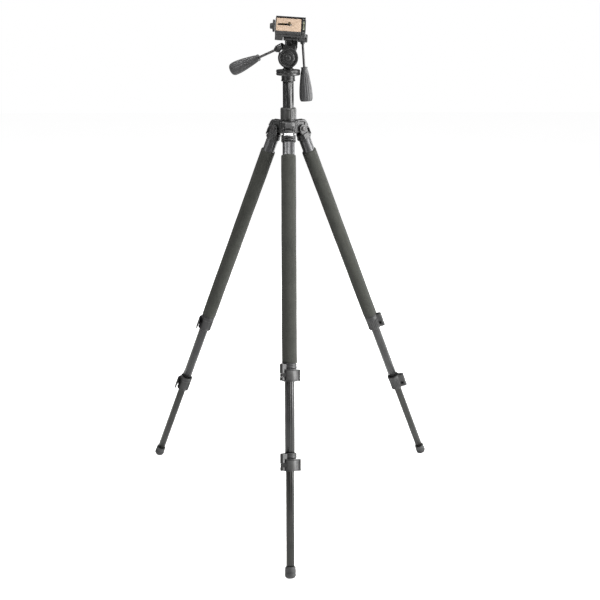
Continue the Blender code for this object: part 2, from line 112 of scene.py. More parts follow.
# ---- materials
class Nodes:
    """Small helper that adds and links shader nodes in one material."""

    def __init__(self, name, colour, roughness, metallic=0.0):
        self.material = bpy.data.materials.new(name)
        self.material.use_nodes = True
        self.tree = self.material.node_tree
        self.shader = self.tree.nodes["Principled BSDF"]
        self.shader.inputs["Base Color"].default_value = (*colour, 1)
        self.shader.inputs["Roughness"].default_value = roughness
        self.shader.inputs["Metallic"].default_value = metallic
        self.where = self.tree.nodes.new("ShaderNodeTexCoord").outputs["Object"]

    def link(self, source, target):
        self.tree.links.new(source, target)

    def node(self, kind, **inputs):
        made = self.tree.nodes.new("ShaderNode" + kind)
        for key, value in inputs.items():
            socket = made.inputs[key.replace("_", " ")]
            if isinstance(value, bpy.types.NodeSocket):
                self.link(value, socket)
            else:
                socket.default_value = value
        return made

    def stretched(self, x, y, z):
        return self.node("Mapping", Vector=self.where, Scale=(x, y, z)).outputs["Vector"]

    def noise(self, scale, detail=3.0, roughness=0.55, where=None):
        where = where or self.where
        made = self.node("TexNoise", Vector=where, Scale=scale, Detail=detail, Roughness=roughness)
        return made.outputs["Fac"]

    def cells(self, scale, output="Distance"):
        return self.node("TexVoronoi", Vector=self.where, Scale=scale).outputs[output]

    def ramp(self, value, *stops):
        made = self.tree.nodes.new("ShaderNodeValToRGB")
        self.link(value, made.inputs["Fac"])
        elements = made.color_ramp.elements
        while len(elements) < len(stops):
            elements.new(0.5)
        for element, (place, colour) in zip(elements, stops):
            element.position = place
            element.color = (*colour, 1)
        return made.outputs["Color"]

    def spread(self, value, low, high, first=0.3, last=0.7):
        made = self.node("MapRange", Value=value)
        for key, number in (("From Min", first), ("From Max", last), ("To Min", low), ("To Max", high)):
            made.inputs[key].default_value = number
        return made.outputs["Result"]

    def mixed(self, factor, first, second):
        made = self.tree.nodes.new("ShaderNodeMix")
        made.data_type = "RGBA"
        for key, value in (("Factor", factor), (6, first), (7, second)):
            socket = made.inputs[key]
            if isinstance(value, bpy.types.NodeSocket):
                self.link(value, socket)
            else:
                socket.default_value = value if isinstance(value, float) else (*value, 1)
        return made.outputs[2]

    def drifting(self, cloud, colour, dark, light):
        """The colour between a darker and a lighter tone of itself."""
        tones = [[min(1, c * factor) for c in colour] for factor in (dark, light)]
        return self.mixed(self.spread(cloud, 0.0, 1.0), *tones)

    def bump(self, height, distance, strength, below=None):
        made = self.node("Bump", Height=height, Distance=distance, Strength=strength)
        if below is not None:
            self.link(below, made.inputs["Normal"])
        return made.outputs["Normal"]

    def base(self, colour):
        self.link(colour, self.shader.inputs["Base Color"])

    def rough(self, value):
        self.link(value, self.shader.inputs["Roughness"])

    def normal(self, value):
        self.link(value, self.shader.inputs["Normal"])

    def set(self, **sockets):
        for key, value in sockets.items():
            self.shader.inputs[key.replace("_", " ")].default_value = value
        return self.material


def worn(n, colour, bright, amount):
    """Colour that lightens along sharp convex edges."""
    edge = n.tree.nodes.new("ShaderNodeNewGeometry").outputs["Pointiness"]
    mask = n.spread(edge, 0.0, amount, 0.545, 0.64)
    return n.mixed(mask, colour, bright)


def anodised(name, colour, roughness):
    n = Nodes(name, colour, roughness, 0.85)
    lines = n.noise(900, 4, where=n.stretched(1, 1, 0.02))
    cloud = n.noise(28, 3)
    n.base(n.drifting(cloud, colour, 0.86, 1.15))
    n.rough(n.spread(lines, roughness - 0.05, roughness + 0.09))
    n.normal(n.bump(lines, 0.00003, 0.5))
    return n.set(IOR=1.5)


def painted(name, colour, roughness, grain=0.00005):
    n = Nodes(name, colour, roughness, 0.15)
    fine, cloud = n.noise(2400, 2), n.noise(60, 4)
    n.base(worn(n, n.drifting(cloud, colour, 0.8, 1.25), (0.13, 0.13, 0.132), 0.35))
    n.rough(n.spread(cloud, roughness - 0.06, roughness + 0.1))
    n.normal(n.bump(fine, grain, 0.6))
    return n.set(Specular_IOR_Level=0.5)


def moulded(name, colour, roughness, grain=0.00007):
    n = Nodes(name, colour, roughness)
    fine, cloud = n.cells(1500), n.noise(45, 3)
    n.base(n.drifting(cloud, colour, 0.85, 1.3))
    n.rough(n.spread(cloud, roughness - 0.05, roughness + 0.1))
    n.normal(n.bump(fine, grain, 0.5))
    return n.set(Specular_IOR_Level=0.5)


def rubbery(name, colour, roughness=0.62, grain=0.00012):
    n = Nodes(name, colour, roughness)
    fine, dust = n.noise(1300, 3), n.noise(30, 5, 0.7)
    light = [min(1, c * 1.9) for c in colour]
    n.base(n.mixed(n.spread(dust, 0.0, 0.6, 0.4, 0.75), colour, light))
    n.rough(n.spread(dust, roughness - 0.08, roughness + 0.14))
    n.normal(n.bump(fine, grain, 0.7))
    return n.set(Sheen_Weight=0.08, Sheen_Roughness=0.5)


def foam_look():
    n = Nodes("foam_black", (0.04, 0.045, 0.04), 0.9)
    pores, cloud, mottle = n.cells(1100), n.noise(35, 4), n.noise(420, 3)
    tone = n.ramp(n.spread(mottle, 0.0, 1.0), (0.0, (0.014, 0.0148, 0.0122)), (1.0, (0.035, 0.036, 0.031)))
    n.base(n.mixed(n.spread(cloud, 0.0, 0.35), tone, (0.042, 0.043, 0.037)))
    skin = n.bump(pores, 0.00035, 0.75)
    n.normal(n.bump(n.noise(90, 2), 0.0006, 0.35, below=skin))
    return n.set(Sheen_Weight=0.04, Sheen_Roughness=0.6, Specular_IOR_Level=0.25)


def cork_look():
    n = Nodes("cork_tan", (0.6, 0.44, 0.28), 0.85)
    grains = n.cells(620, "Color")
    split = n.node("SeparateColor", Color=grains).outputs["Red"]
    tone = n.ramp(split, (0.0, (0.2, 0.145, 0.098)), (0.22, (0.262, 0.19, 0.137)),
                  (0.6, (0.308, 0.229, 0.168)), (1.0, (0.354, 0.274, 0.21)))
    flecks = n.ramp(n.noise(950, 2), (0.6, (0.0, 0.0, 0.0)), (0.68, (1.0, 1.0, 1.0)))
    dark = n.mixed(flecks, tone, (0.24, 0.15, 0.1))
    n.base(n.mixed(0.35, tone, dark))
    n.normal(n.bump(n.cells(620), 0.00025, 0.6))
    return n.set(Specular_IOR_Level=0.25)


def bare_metal(name, colour, roughness):
    n = Nodes(name, colour, roughness, 1.0)
    turned_marks = n.noise(700, 3, where=n.stretched(1, 1, 6))
    n.rough(n.spread(turned_marks, roughness - 0.06, roughness + 0.12))
    n.base(n.mixed(n.spread(turned_marks, 0.0, 0.5), colour, [c * 0.7 for c in colour]))
    n.normal(n.bump(turned_marks, 0.00003, 0.5))
    return n.material


def label_look():
    n = Nodes("label_silver", (0.72, 0.72, 0.73), 0.35, 0.3)
    lines = n.noise(1500, 2, where=n.stretched(0.03, 1, 1))
    n.base(n.mixed(n.spread(lines, 0.0, 1.0), (0.66, 0.66, 0.67), (0.84, 0.84, 0.85)))
    n.rough(n.spread(lines, 0.28, 0.45))
    return n.material


def glass_look():
    n = Nodes("level_tube", (0.16, 0.17, 0.12), 0.1)
    n.base(n.mixed(n.spread(n.noise(90, 2), 0.0, 1.0), (0.13, 0.14, 0.09), (0.19, 0.2, 0.15)))
    return n.set(Transmission_Weight=0.15, IOR=1.45, Coat_Weight=0.4, Coat_Roughness=0.05)


def finish(slot, *looks):
    """Each look with the record's material slot that its pieces name."""
    return [(look, slot) for look in looks]


TUBE, TUBE_GREY, TUBE_INNER = finish(
    "anodised", anodised("tube_anodised", (0.046, 0.046, 0.046), 0.24),
    anodised("tube_grey", (0.085, 0.085, 0.087), 0.38),
    anodised("tube_inner_anodised", (0.036, 0.036, 0.034), 0.27))
CASTING, HEAD_BLACK, HEAD_GLOSS = finish(
    "casting", painted("casting_black", (0.017, 0.017, 0.017), 0.36),
    painted("head_black", (0.013, 0.013, 0.013), 0.26),
    painted("head_gloss", (0.012, 0.012, 0.012), 0.15, 0.00001))
PLASTIC, LEVER_GREY = finish(
    "plastic", moulded("plastic_black", (0.011, 0.011, 0.011), 0.42),
    moulded("plastic_grey", (0.036, 0.036, 0.035), 0.38))
RUBBER, GRIP_RUBBER, COLLAR_RUBBER = finish(
    "rubber", rubbery("rubber_black", (0.022, 0.022, 0.022)),
    moulded("grip_rubber", (0.026, 0.026, 0.027), 0.42, 0.000003),
    rubbery("collar_rubber", (0.012, 0.012, 0.011), 0.34, 0.0002))
FOAM, = finish("foam", foam_look())
CORK, = finish("cork", cork_look())
GLASS, = finish("glass", glass_look())
rod_look = painted("rod_black", (0.024, 0.022, 0.022), 0.3, 0.00001)
steel_look = bare_metal("steel_dark", (0.1, 0.1, 0.105), 0.33)
ROD_BLACK, RIVET_STEEL = finish("dark_steel", rod_look, steel_look)
BOLT_BLACK, SCREW_STEEL, LABEL, BRASS = finish(
    "steel", rod_look, steel_look, label_look(),
    bare_metal("screw_dark_brass", (0.085, 0.065, 0.035), 0.42))


# ---- mesh helpers
def rounded(points, steps=4):
    """Rounds the corners of an outline: each point is (a, b) or (a, b, radius)."""
    made, count = [], len(points)
    for i, point in enumerate(points):
        if len(point) < 3 or point[2] <= 0:
            made.append(tuple(point[:2]))
            continue
        here = Vector(point[:2])
        before, after = Vector(points[i - 1][:2]) - here, Vector(points[(i + 1) % count][:2]) - here
        reach = min(point[2], before.length * 0.49, after.length * 0.49)
        start, end = here + before.normalized() * reach, here + after.normalized() * reach
        for k in range(steps + 1):
            s = k / steps
            made.append(tuple(start * (1 - s) ** 2 + here * 2 * s * (1 - s) + end * s * s))
    return made


def polar(radius, degrees):
    """A point at an angle turned anticlockwise from local -Y."""
    a = math.radians(degrees)
    return (radius * math.sin(a), -radius * math.cos(a))


def arc(radius, first, last, steps):
    return [polar(radius, first + (last - first) * i / steps) for i in range(steps + 1)]


def moved(points, x=0.0, y=0.0):
    return [(a + x, b + y) for a, b in points]


def circle(centre, radius, first, last, steps):
    span = [math.radians(first + (last - first) * i / steps) for i in range(steps + 1)]
    return [(centre[0] + radius * math.cos(a), centre[1] + radius * math.sin(a)) for a in span]


TO_X = turned(90, "Y")
TO_Y = turned(90, "X")
CYCLE = Matrix(((0, 0, 1, 0), (1, 0, 0, 0), (0, 1, 0, 0), (0, 0, 0, 1)))   # an (y, z) outline raised along X


def swept(profile, shape=None, steps=64, turn=None):
    """Turns a closed (radius, height) profile about Z; shape(angle, radius, height) may change a radius."""
    shape = shape or (lambda angle, radius, height: radius)
    bm = bmesh.new()
    rows = []
    for r, z in profile:
        if r <= 1e-9:
            rows.append([bm.verts.new((0, 0, z))] * steps)
            continue
        row = []
        for i in range(steps):
            a = 2 * math.pi * i / steps
            radius = shape(a, r, z)
            row.append(bm.verts.new((radius * math.cos(a), radius * math.sin(a), z)))
        rows.append(row)
    for k, low in enumerate(rows):
        after = (k + 1) % len(rows)
        if profile[k][0] <= 1e-9 and profile[after][0] <= 1e-9:
            continue
        high = rows[after]
        for i in range(steps):
            j = (i + 1) % steps
            corners = [low[i], low[j], high[j], high[i]]
            face = [v for n, v in enumerate(corners) if v not in corners[:n]]
            if len(face) > 2:
                bm.faces.new(face)
    if turn is not None:
        bm.transform(turn)
    bmesh.ops.recalc_face_normals(bm, faces=bm.faces)
    return bm


def raised(outline, low, high, turn=None):
    """A flat (x, y) outline raised along Z."""
    bm = bmesh.new()
    under = [bm.verts.new((x, y, low)) for x, y in outline]
    over = [bm.verts.new((x, y, high)) for x, y in outline]
    bm.faces.new(under[::-1])
    bm.faces.new(over)
    for i in range(len(outline)):
        j = (i + 1) % len(outline)
        bm.faces.new((under[i], under[j], over[j], over[i]))
    if turn is not None:
        bm.transform(turn)
    bmesh.ops.recalc_face_normals(bm, faces=bm.faces)
    return bm


def cylinder(radius, low, high, steps=64, turn=None):
    return swept([(0, low), (radius, low), (radius, high), (0, high)], steps=steps, turn=turn)


def block(x, y, z, turn=None):
    return raised([(x[0], y[0]), (x[1], y[0]), (x[1], y[1]), (x[0], y[1])], *z, turn)


def boxed(x, y, radius, steps=6):
    """A rectangle's outline with rounded corners."""
    corners = ((x[0], y[0]), (x[1], y[0]), (x[1], y[1]), (x[0], y[1]))
    return rounded([(*corner, radius) for corner in corners], steps)


def shaded(mesh, angle=32):
    """Smooth shading with edges sharper than the angle kept crisp."""
    bm = bmesh.new()
    bm.from_mesh(mesh)
    limit = math.radians(angle)
    for face in bm.faces:
        face.smooth = True
    for edge in bm.edges:
        edge.smooth = len(edge.link_faces) == 2 and edge.calc_face_angle(0) < limit
    bm.to_mesh(mesh)
    bm.free()
    return mesh


def to_mesh(name, bm):
    mesh = bpy.data.meshes.new(name)
    bm.to_mesh(mesh)
    bm.free()
    return mesh


def in_scene(name, data):
    obj = bpy.data.objects.new(name, data)
    bpy.context.scene.collection.objects.link(obj)
    return obj


def turned_mesh(name, profile, crease, shape=None, steps=64, turn=None):
    """A shaded mesh of a profile turned about Z."""
    return shaded(to_mesh(name, swept(profile, shape, steps, turn)), crease)


def applied(mesh, *modifiers):
    """The mesh after a list of (type, settings) modifiers."""
    helper = in_scene("helper", mesh)
    for kind, settings in modifiers:
        modifier = helper.modifiers.new(kind.lower(), kind)
        for key, value in settings.items():
            setattr(modifier, key, value)
    graph = bpy.context.evaluated_depsgraph_get()
    made = bpy.data.meshes.new_from_object(helper.evaluated_get(graph))
    made.name = mesh.name
    bpy.data.objects.remove(helper)
    return made


def bevelled(mesh, width, segments, angle):
    return shaded(applied(mesh, ("BEVEL", {"width": width, "segments": segments, "limit_method": "ANGLE",
                                           "angle_limit": math.radians(angle)})), 40)


def cut_from(mesh, *cuts):
    """The mesh with each cutter taken out by an exact Boolean."""
    tools = [in_scene(f"tool_{n}", to_mesh(f"tool_{n}", cut)) for n, cut in enumerate(cuts)]
    exact = {"operation": "DIFFERENCE", "solver": "EXACT"}
    made = applied(mesh, *[("BOOLEAN", {**exact, "object": tool}) for tool in tools])
    for tool in tools:
        bpy.data.objects.remove(tool)
    return made


def joined(solids):
    bm = bmesh.new()
    for solid in solids:
        part = bpy.data.meshes.new("part")
        solid.to_mesh(part)
        solid.free()
        bm.from_mesh(part)
        bpy.data.meshes.remove(part)
    return bm


def cast(name, solids, cuts=(), voxel=0.00055, rounds=5, keep=0.3):
    """One die-cast or moulded body: solids melted together, cuts taken out, and every edge softly rounded."""
    remesh = ("REMESH", {"mode": "VOXEL", "voxel_size": voxel * 1.0})
    mesh = applied(to_mesh(name, joined(solids)), remesh)
    if cuts:
        mesh = applied(cut_from(mesh, *cuts), remesh)
    mesh = applied(mesh, ("SMOOTH", {"factor": 0.5, "iterations": rounds}),
                   ("DECIMATE", {"ratio": keep}))
    return shaded(mesh, 50)


def piece(name, mesh, matrix, body, look, *replaced):
    """Puts a mesh in a local frame, on a body, in place of the CAD nodes named last."""
    obj = in_scene(name, mesh)
    obj.matrix_world = matrix
    if not mesh.materials:
        mesh.materials.append(look[0])
    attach(obj, body)
    if replaced:
        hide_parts(*replaced)
    return obj


def clamped(value):
    return min(1.0, max(0.0, value))


def hexed(angle, radius):
    """Radius of a hexagon whose corners lie on the circle."""
    half = math.pi / 6
    return radius * math.cos(half) / math.cos((angle + half) % (2 * half) - half)


def thread_cut(angle, height, pitch, depth):
    """Depth of a triangular thread below its crest."""
    return depth * abs(2 * ((height / pitch - angle / (2 * math.pi)) % 1.0) - 1)


def grooved(grooves):
    """Radius rule with shallow lengthwise grooves, each (angle in degrees, half width, depth)."""
    def rule(angle, radius, height):
        for at, half, depth in grooves:
            gap = abs((math.degrees(angle) - at + 180) % 360 - 180)
            reach = math.radians(gap) * radius
            if reach < half * 1.6:
                s = clamped((half * 1.6 - reach) / (half * 0.6))
                radius -= depth * s * s * (3 - 2 * s)
        return radius
    return rule


def tube_mesh(name, outer, wall, top, low, grooves=(), steps=144):
    edge, inner = 0.0004, outer - wall
    profile = [(outer - edge, low), (outer, low + edge), (outer, top - edge), (outer - edge, top),
               (inner, top), (inner, low)]
    shape = grooved(grooves)
    return turned_mesh(name, profile, 45, lambda a, r, z: shape(a, r, z) if r > inner + 1e-5 else r, steps)


# ---- legs
TUBE_R = (0.014, 0.0113, 0.0095)
WALL, GAP = 0.0013, 0.0003
UPPER, MIDDLE, LOWER = (1.0057, 0.449), (0.78, 0.249), (0.56, 0.0082)
FOAM_R, FOAM_SPAN = 0.0175, (0.9612, 0.478)
LOCKS = ((0.4775, 0.4368), (0.2766, 0.2362))
COLLAR_R, PIVOT_R, PIVOT_PHI = (0.0168, 0.0156), 0.0245, -45.0
LEVER_UP, LEVER_HALF, KNUCKLE_HALF = 0.014, 0.0134, 0.0038
EAR_IN, EAR_OUT, EAR_R, PIN_R = 0.0086, 0.0136, 0.0098, 0.003
TAB_AT = (-0.0155, down(1.012))


def leg_top_mesh():
    socket = swept([
        (0.0, down(0.9935)), (0.0166, down(0.9935)), (0.0172, down(0.9941)), (0.0172, down(0.997)),
        (0.0166, down(0.9976)), (0.016, down(0.9982)), (0.016, down(1.007)), (0.0145, down(1.0085)),
        (0.0, down(1.0085))])
    ear = circle((0, 0), EAR_R, -12, 192, 24) + [(-0.01, down(1.004)), (0.01, down(1.004))]
    rib = [(-0.007, down(0.995)), (0.007, down(0.995)), (0.0078, down(1.008)), (-0.0078, down(1.008))]
    solids = [socket]
    for sign in (-1, 1):
        solids.append(raised(ear, *sorted((sign * EAR_IN, sign * EAR_OUT)), CYCLE))
        solids.append(raised(rib, *sorted((sign * 0.013, sign * 0.0168)), CYCLE))
        solids.append(cylinder(0.0062, sign * 0.012, sign * 0.0139, 32, turn=TO_X))
    cuts = [cylinder(TUBE_R[0] + GAP, -0.06, down(1.006)),
            cylinder(PIN_R + GAP, -0.03, 0.03, 32, turn=TO_X),
            block((-0.0085, 0.0085), (-0.03, 0.03), (down(1.0087), 0.03))]
    return cast("leg_top", solids, cuts)


def stop_tab_mesh():
    y, z = TAB_AT
    low, high = down(0.9988), down(1.0135)
    shell = arc(0.0193, -37, 37, 32) + arc(0.0172, 38, -38, 32)
    solids = [raised(moved(shell, y=-y), low - z, high - z)]
    frame_arc = arc(0.02, -38, 38, 32) + arc(0.018, 38, -38, 32)
    for a, b in ((low - z, down(1.0033) - z), (down(1.009) - z, high - z)):
        solids.append(raised(moved(frame_arc, y=-y), a, b))
    for first, last in ((-38, -33.5), (33.5, 38)):
        edge = arc(0.02, first, last, 4) + arc(0.018, last, first, 4)
        solids.append(raised(moved(edge, y=-y), low - z, high - z))
    solids.append(block((-0.0075, 0.0075), (-0.018 - y, -0.0129 - y),
                        (down(1.0105) + 0.0024 - z, down(1.0174) - z)))
    return cast("stop_tab", solids, voxel=0.0004, rounds=4)


def label_mesh():
    y, z = TAB_AT
    outline = arc(0.01975, -31.5, 31.5, 32) + arc(0.019, 31.5, -31.5, 32)
    bm = raised(moved(outline, y=-y), down(1.0036) - z, down(1.0087) - z)
    return bevelled(to_mesh("leg_label", bm), 0.0002, 2, 60)


def collar_mesh(name, span, radius, above, below, seat):
    top, low = (down(t) for t in span)
    px, py = polar(PIVOT_R, PIVOT_PHI)
    barrel = swept([
        (0, low), (radius - 0.0012, low), (radius, low + 0.0012), (radius, low + 0.003),
        (radius - 0.0014, low + 0.004), (radius - 0.0014, top - 0.0122), (radius, top - 0.0112),
        (radius, top - 0.0064), (radius - 0.0007, top - 0.006), (radius - 0.0007, top - 0.0046),
        (radius, top - 0.0042), (radius, top - 0.001), (radius - 0.001, top), (0, top)])
    side = Vector(polar(1, PIVOT_PHI + 90))
    root = Vector(polar(0.0146, PIVOT_PHI))
    ends = [tuple(root - side * 0.006), tuple(root + side * 0.006)]
    outline = ends[:1] + circle((px, py), 0.0048, -225, -45, 18) + ends[1:]
    solids = [barrel]
    for a, b in ((low + LEVER_UP + KNUCKLE_HALF + GAP, top - 0.001),
                 (low + 0.0015, low + LEVER_UP - KNUCKLE_HALF - GAP)):
        solids.append(raised(outline, a, b))
    for angle in range(80, 290, 15):
        at = turned(angle, "Z")
        solids.append(block((radius - 0.0025, radius), (-0.0009, 0.0009), (low + 0.003, top - 0.011), at))
    shoulder = down(seat) - GAP
    slit = turned(PIVOT_PHI - 90, "Z")
    cuts = [swept([(0, low - 0.01), (below + GAP, low - 0.01), (below + GAP, shoulder),
                   (above + GAP, shoulder), (above + GAP, top + 0.01), (0, top + 0.01)], steps=96),
            block((0.009, 0.0215), (-0.0006, 0.0006), (low - 0.01, low + 0.0245), slit)]
    return cast(name, solids, cuts, keep=0.28)


def lever_mesh(name):
    """Flip lever about its pivot: a curved plate with raised rims, a knuckle and a flared, ribbed tab."""
    px, py = polar(PIVOT_R, PIVOT_PHI)
    tab = ((0.0221, 53), (0.024, 60), (0.0272, 67), (0.0262, 69), (0.025, 69.5), (0.0226, 64),
           (0.0202, 56), (0.0186, 49))
    shell = arc(0.0214, -25, 46, 36) + [polar(*point) for point in tab] + arc(0.0183, 45, -25, 36)
    solids = [raised(moved(shell, -px, -py), -LEVER_HALF, LEVER_HALF)]
    rim = arc(0.0219, -24, 50, 32) + arc(0.019, 50, -24, 32)
    for a, b in ((-LEVER_HALF, -LEVER_HALF + 0.0022), (LEVER_HALF - 0.0022, LEVER_HALF)):
        solids.append(raised(moved(rim, -px, -py), a, b))
    for n in range(4):
        x, y = polar(0.0249 + n * 0.0006, 61.5 + n * 1.7)
        solids.append(cylinder(0.0006, -0.0105, 0.0105, 12, Matrix.Translation((x - px, y - py, 0))))
    arm = circle((0, 0), 0.0042, 70, 290, 20) + moved([polar(0.021, -18), polar(0.0186, -20)], -px, -py)
    solids.append(raised(arm, -KNUCKLE_HALF, KNUCKLE_HALF))
    return cast(name, solids, voxel=0.0005, keep=0.3)


def lever_panel_mesh(name):
    px, py = polar(PIVOT_R, PIVOT_PHI)
    outline = arc(0.0219, -14, 42, 36) + arc(0.0209, 42, -14, 36)
    bm = raised(moved(outline, -px, -py), -0.0098, 0.0098)
    return bevelled(to_mesh(name, bm), 0.0004, 3, 60)


def radial_screw_mesh(name, radius):
    """Small crosshead screw whose axis lies along local -Y."""
    head = [(0, 0), (radius, 0), (radius, 0.0004), (radius * 0.8, 0.0009), (0, 0.0011)]
    return turned_mesh(name, head, 45, steps=32, turn=TO_Y)


def hex_screw_mesh(name, radius, height):
    """Round cap with a hexagon socket, facing +Z."""
    def shape(angle, r, z):
        return hexed(angle, r) if r < radius * 0.55 else r
    socket = radius * 0.5
    head = [(0, 0), (radius, 0), (radius, height * 0.7), (radius * 0.88, height), (socket, height),
            (socket, height * 0.35), (0, height * 0.35)]
    return turned_mesh(name, head, 40, shape, 60)


def foam_mesh():
    top, low = (down(t) for t in FOAM_SPAN)
    inner = TUBE_R[0] + GAP
    profile = [(inner, low), (FOAM_R - 0.0022, low), (FOAM_R - 0.0008, low + 0.0007), (FOAM_R, low + 0.0024)]
    count = 60
    for k in range(1, count):
        profile.append((FOAM_R, low + 0.0024 + (top - low - 0.0048) * k / count))
    profile += [(FOAM_R, top - 0.0024), (FOAM_R - 0.0008, top - 0.0007), (FOAM_R - 0.0022, top), (inner, top)]

    def shape(angle, radius, height):
        if radius < FOAM_R - 0.0001:
            return radius
        wave = 0.00012 * math.sin(3 * angle + 31 * height) + 0.0001 * math.sin(2 * angle - 83 * height)
        return radius - 0.0002 + wave
    return turned_mesh("foam_grip", profile, 60, shape, 72)


def foot_mesh():
    profile = [(0.0, 0.0), (0.0035, 0.0), (0.006, 0.0003), (0.0085, 0.0012), (0.0101, 0.0022),
               (0.0112, 0.0034), (0.0121, 0.005), (0.0126, 0.0068), (0.0126, 0.0086)]
    for k in range(3):
        z = 0.0094 + k * 0.0026
        profile += [(0.0125, z), (0.0117, z + 0.0003), (0.0117, z + 0.0009), (0.0125, z + 0.0012)]
    profile += [(0.0124, 0.018), (0.0122, 0.0225), (0.0121, 0.025), (0.0117, 0.0259), (0.0098, 0.0259),
                (0.0098, 0.0078), (0.0, 0.0078)]
    profile = [(r, down(z)) for r, z in profile]
    return turned_mesh("rubber_foot", profile, 38, steps=64)


def hinge_bolt_mesh():
    head, reach = 0.0058, EAR_OUT + GAP + 0.0004
    socket = 0.0024
    profile = [(0, -reach - 0.0024), (head * 0.72, -reach - 0.0024), (head * 0.94, -reach - 0.0017),
               (head, -reach - 0.0008), (head, -reach), (PIN_R, -reach), (PIN_R, reach), (head, reach),
               (head, reach + 0.0008), (head * 0.94, reach + 0.0017), (head * 0.72, reach + 0.0024),
               (socket, reach + 0.0024), (socket, reach + 0.0012), (0, reach + 0.0012)]
    return turned_mesh("hinge_bolt", profile, 35, steps=48, turn=TO_X)


def build_legs():
    foam, foot, top = foam_mesh(), foot_mesh(), leg_top_mesh()
    tab, label, bolt = stop_tab_mesh(), label_mesh(), hinge_bolt_mesh()
    grooves = [(270 + turn + lean, 0.0011, 0.0005) for turn in (0, 120, 240) for lean in (-23, 16)]
    upper = tube_mesh("upper_tube", TUBE_R[0], WALL, down(UPPER[0]), down(UPPER[1]))
    middle = tube_mesh("middle_tube", TUBE_R[1], WALL, down(MIDDLE[0]), down(MIDDLE[1]), grooves)
    lower = tube_mesh("lower_tube", TUBE_R[2], WALL, down(LOWER[0]), down(LOWER[1]), grooves)
    collars = (collar_mesh("lock_collar_1", LOCKS[0], COLLAR_R[0], TUBE_R[0], TUBE_R[1], UPPER[1]),
               collar_mesh("lock_collar_2", LOCKS[1], COLLAR_R[1], TUBE_R[1], TUBE_R[2], MIDDLE[1]))
    lever, panel = lever_mesh("lock_lever"), lever_panel_mesh("lock_lever_panel")
    rivet = radial_screw_mesh("lever_rivet", 0.0017)
    screw = hex_screw_mesh("lock_screw", 0.0033, 0.0014)
    for side in SIDES:
        at = LEG_FRAMES[side]
        leg, mid, low = f"leg_{side}", f"middle_{side}", f"lower_{side}"
        piece(f"top_casting_{side}", top, at, leg, CASTING, f"leg_top_{side}")
        piece(f"leg_bolt_{side}", bolt, at, "hub", BOLT_BLACK, f"hinge_bolt_{side}")
        tab_at = shifted(at, 0, *TAB_AT)
        piece(f"release_tab_{side}", tab, tab_at, f"stop_tab_{side}", PLASTIC, f"stop_tab_{side}")
        piece(f"blank_label_{side}", label, tab_at, f"stop_tab_{side}", LABEL)
        piece(f"tube_upper_{side}", upper, at, leg, TUBE_GREY, f"upper_tube_{side}")
        piece(f"tube_middle_{side}", middle, at, mid, TUBE, f"middle_tube_{side}")
        piece(f"tube_lower_{side}", lower, at, low, TUBE_INNER, f"lower_tube_{side}")
        piece(f"foam_sleeve_{side}", foam, at, leg, FOAM, f"foam_grip_{side}")
        piece(f"foot_{side}", foot, at, low, RUBBER, f"rubber_foot_{side}")
        for k, (span, body) in enumerate(zip(LOCKS, (leg, mid)), 1):
            collar_node = f"lock_collar_{k}_{side}"
            piece(f"collar_{k}_{side}", collars[k - 1], at, body, PLASTIC, collar_node)
            turn = at.copy()
            turn.translation = joint_at(f"lock_{k}_flip_{side}")
            lever_body = f"lock_lever_{k}_{side}"
            piece(f"lever_{k}_{side}", lever, turn, lever_body, PLASTIC, lever_body)
            piece(f"lever_panel_{k}_{side}", panel, turn, lever_body, LEVER_GREY)
            px, py = polar(PIVOT_R, PIVOT_PHI)
            rx, ry = polar(0.0216, -4)
            facing = shifted(turn, rx - px, ry - py) @ turned(-4, "Z")
            piece(f"lever_rivet_{k}_{side}", rivet, facing, lever_body, RIVET_STEEL)
            head = shifted(at, px, py, down(span[0]) - 0.0012)
            piece(f"lock_screw_{k}_{side}", screw, head, body, SCREW_STEEL)


# ---- shoulder and column
COLUMN_R, COLUMN_WALL, COLUMN_TOP, COLUMN_LOW = 0.013, 0.002, 1.06, 0.7205


def build_shoulder():
    body = swept([(0, 0.93), (0.02, 0.93), (0.0225, 0.9315), (0.0225, 0.9556), (0.0205, 0.9593),
                  (0.016, 0.9593), (0.016, 0.978), (0, 0.978)])
    solids = [body]
    lug = [(0.016, -0.009), (-0.002, -0.0088), (-0.0062, -0.0062), (-0.0086, -0.002), (-0.0095, 0.0012),
           (-0.015, 0.0042), (-0.0176, 0.0074), (-0.0112, 0.018), (-0.0075, 0.0207), (0.016, 0.0195)]
    rib = [(0.014, 0.006), (-0.005, 0.006), (-0.01, 0.019), (-0.0072, 0.0215), (0.014, 0.0203)]
    cuts = []
    home = BASE.inverted()
    for side in SIDES:
        at = home @ HUB_FRAMES[side]
        solids.append(raised(lug, -0.0083, 0.0083, at @ CYCLE))
        for x in (-0.0072, 0.005):
            solids.append(raised(rib, x, x + 0.0022, at @ CYCLE))
        cuts.append(cylinder(PIN_R + GAP, -0.02, 0.02, 32, turn=at @ TO_X))
        pocket = [(0.008, 0.0035), (-0.006, 0.007), (-0.0075, 0.015), (0.008, 0.0165)]
        for x in (-0.009, 0.0066):
            cuts.append(raised(pocket, x, x + 0.0024, at @ CYCLE))
    for angle in (90, 210, 330):
        solids.append(block((0.0215, 0.0238), (-0.0012, 0.0012), (0.932, 0.956),
                            turned(angle, "Z")))
    cuts.append(cylinder(COLUMN_R + GAP, 0.9, 1.0, 96))
    mesh = cast("shoulder", solids, cuts, voxel=0.0006, keep=0.35)
    piece("shoulder_casting", mesh, BASE, "hub", CASTING, "hub")


